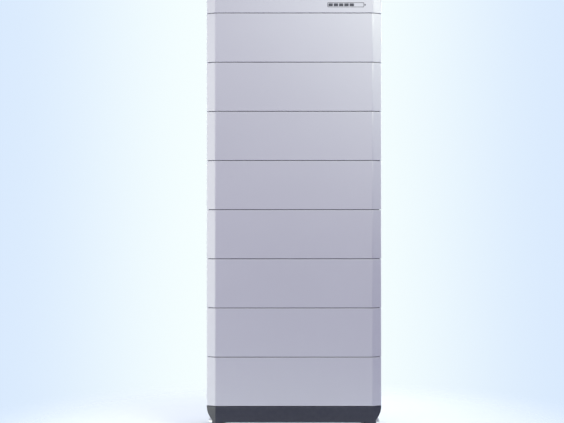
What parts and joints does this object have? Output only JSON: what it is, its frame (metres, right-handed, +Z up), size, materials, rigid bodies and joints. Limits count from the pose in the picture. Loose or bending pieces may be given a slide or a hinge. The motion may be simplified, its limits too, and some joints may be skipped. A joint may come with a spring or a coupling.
{
  "type": "stacking battery tower",
  "caption": "Floor-standing battery tower of stacked flat modules with chamfered front corners, a control unit on top and a dark plinth on levelling feet.",
  "frame": {"origin": "on the floor under the middle of the tower's footprint", "axes": "+Z up, -Y out of the front covers, +X to the right seen from the front"},
  "size_m": [0.588, 0.298, 1.605],
  "materials": {
    "cover_paint": "fine satin powder coat, light silver grey",
    "case_paint": "fine satin powder coat, light silver grey",
    "plinth_paint": "satin powder coat, anthracite",
    "galvanised_steel": "galvanised sheet",
    "zinc_steel": "bright zinc plate",
    "foot_rubber": "matt moulded rubber",
    "black_plastic": "fine matt glass-filled plastic",
    "button_plastic": "satin plastic",
    "light_guide": "milky light guide",
    "handle_plastic": "fine matt plastic, red",
    "cell_can": "film-wrapped aluminium can",
    "brass": "plain brass",
    "ceramic": "glazed ceramic",
    "circuit_board": "solder mask"
  },
  "bodies": {
    "base": {"plinth": "plinth_paint", "base_plate": "galvanised_steel", "foot_bosses": "plinth_paint", "base_jumper": "black_plastic"},
    "foot_pad_1": {"foot_pad_1": "foot_rubber"},
    "foot_stud_1": {"foot_stud_1": "zinc_steel"},
    "foot_pad_2": {"foot_pad_2": "foot_rubber"},
    "foot_stud_2": {"foot_stud_2": "zinc_steel"},
    "foot_pad_3": {"foot_pad_3": "foot_rubber"},
    "foot_stud_3": {"foot_stud_3": "zinc_steel"},
    "foot_pad_4": {"foot_pad_4": "foot_rubber"},
    "foot_stud_4": {"foot_stud_4": "zinc_steel"},
    "module_1": {"module_1_case": "case_paint", "module_1_front_cover": "cover_paint", "module_1_cell_pack": "cell_can", "module_1_connectors": "black_plastic"},
    "module_2": {"module_2_case": "case_paint", "module_2_front_cover": "cover_paint", "module_2_cell_pack": "cell_can", "module_2_connectors": "black_plastic"},
    "module_3": {"module_3_case": "case_paint", "module_3_front_cover": "cover_paint", "module_3_cell_pack": "cell_can", "module_3_connectors": "black_plastic"},
    "module_4": {"module_4_case": "case_paint", "module_4_front_cover": "cover_paint", "module_4_cell_pack": "cell_can", "module_4_connectors": "black_plastic"},
    "module_5": {"module_5_case": "case_paint", "module_5_front_cover": "cover_paint", "module_5_cell_pack": "cell_can", "module_5_connectors": "black_plastic"},
    "module_6": {"module_6_case": "case_paint", "module_6_front_cover": "cover_paint", "module_6_cell_pack": "cell_can", "module_6_connectors": "black_plastic"},
    "module_7": {"module_7_case": "case_paint", "module_7_front_cover": "cover_paint", "module_7_cell_pack": "cell_can", "module_7_connectors": "black_plastic"},
    "module_8": {"module_8_case": "case_paint", "module_8_front_cover": "cover_paint", "module_8_cell_pack": "cell_can", "module_8_connectors": "black_plastic"},
    "control_unit": {"control_unit_case": "case_paint", "control_unit_lid": "cover_paint", "control_unit_socket": "black_plastic", "status_light": "light_guide", "isolator_switch": "black_plastic", "dc_outlets": "black_plastic", "data_sockets": "black_plastic", "earth_stud": "brass", "contactors": "black_plastic", "dc_fuse": "ceramic", "current_shunt": "brass", "control_board": "circuit_board"},
    "control_cover": {"control_unit_front_cover": "cover_paint"},
    "isolator_handle": {"isolator_handle": "handle_plastic"},
    "power_button": {"power_button": "button_plastic"},
    "wall_bracket": {"wall_bracket": "zinc_steel"}
  },
  "joints": [
    {"name": "foot_1_height", "type": "slide", "parent": "base", "child": "foot_pad_1", "axis": [0, 0, -1], "range_m": [0, 0.012]},
    {"name": "foot_1_screw", "type": "hinge", "parent": "foot_pad_1", "child": "foot_stud_1", "pos_m": [-0.2635, -0.105, 0.012], "axis": [0, 0, -1], "range_deg": [0, 2468.6]},
    {"name": "foot_2_height", "type": "slide", "parent": "base", "child": "foot_pad_2", "axis": [0, 0, -1], "range_m": [0, 0.012]},
    {"name": "foot_2_screw", "type": "hinge", "parent": "foot_pad_2", "child": "foot_stud_2", "pos_m": [0.2635, -0.105, 0.012], "axis": [0, 0, -1], "range_deg": [0, 2468.6]},
    {"name": "foot_3_height", "type": "slide", "parent": "base", "child": "foot_pad_3", "axis": [0, 0, -1], "range_m": [0, 0.012]},
    {"name": "foot_3_screw", "type": "hinge", "parent": "foot_pad_3", "child": "foot_stud_3", "pos_m": [-0.2635, 0.105, 0.012], "axis": [0, 0, -1], "range_deg": [0, 2468.6]},
    {"name": "foot_4_height", "type": "slide", "parent": "base", "child": "foot_pad_4", "axis": [0, 0, -1], "range_m": [0, 0.012]},
    {"name": "foot_4_screw", "type": "hinge", "parent": "foot_pad_4", "child": "foot_stud_4", "pos_m": [0.2635, 0.105, 0.012], "axis": [0, 0, -1], "range_deg": [0, 2468.6]},
    {"name": "module_1_lift", "type": "slide", "parent": "base", "child": "module_1", "axis": [0, 0, 1], "range_m": [0, 0.06]},
    {"name": "module_2_lift", "type": "slide", "parent": "module_1", "child": "module_2", "axis": [0, 0, 1], "range_m": [0, 0.06]},
    {"name": "module_3_lift", "type": "slide", "parent": "module_2", "child": "module_3", "axis": [0, 0, 1], "range_m": [0, 0.06]},
    {"name": "module_4_lift", "type": "slide", "parent": "module_3", "child": "module_4", "axis": [0, 0, 1], "range_m": [0, 0.06]},
    {"name": "module_5_lift", "type": "slide", "parent": "module_4", "child": "module_5", "axis": [0, 0, 1], "range_m": [0, 0.06]},
    {"name": "module_6_lift", "type": "slide", "parent": "module_5", "child": "module_6", "axis": [0, 0, 1], "range_m": [0, 0.06]},
    {"name": "module_7_lift", "type": "slide", "parent": "module_6", "child": "module_7", "axis": [0, 0, 1], "range_m": [0, 0.06]},
    {"name": "module_8_lift", "type": "slide", "parent": "module_7", "child": "module_8", "axis": [0, 0, 1], "range_m": [0, 0.06]},
    {"name": "control_unit_lift", "type": "slide", "parent": "module_8", "child": "control_unit", "axis": [0, 0, 1], "range_m": [0, 0.06]},
    {"name": "control_cover_pull", "type": "slide", "parent": "control_unit", "child": "control_cover", "axis": [0, -1, 0], "range_m": [0, 0.05]},
    {"name": "isolator_turn", "type": "hinge", "parent": "control_unit", "child": "isolator_handle", "pos_m": [0.2585, 0.02, 1.515], "axis": [1, 0, 0], "range_deg": [0, 90]},
    {"name": "button_press", "type": "slide", "parent": "control_unit", "child": "power_button", "axis": [0, 1, 0], "range_m": [0, 0.0015], "stiffness_N_per_m": 800},
    {"name": "wall_bracket_reach", "type": "slide", "parent": "control_unit", "child": "wall_bracket", "axis": [0, 1, 0], "range_m": [0, 0.03]}
  ],
  "couplings": [
    {"joint": "foot_1_screw", "follows": "foot_1_height", "rad_per_m": 3590.4},
    {"joint": "foot_2_screw", "follows": "foot_2_height", "rad_per_m": 3590.4},
    {"joint": "foot_3_screw", "follows": "foot_3_height", "rad_per_m": 3590.4},
    {"joint": "foot_4_screw", "follows": "foot_4_height", "rad_per_m": 3590.4}
  ]
}
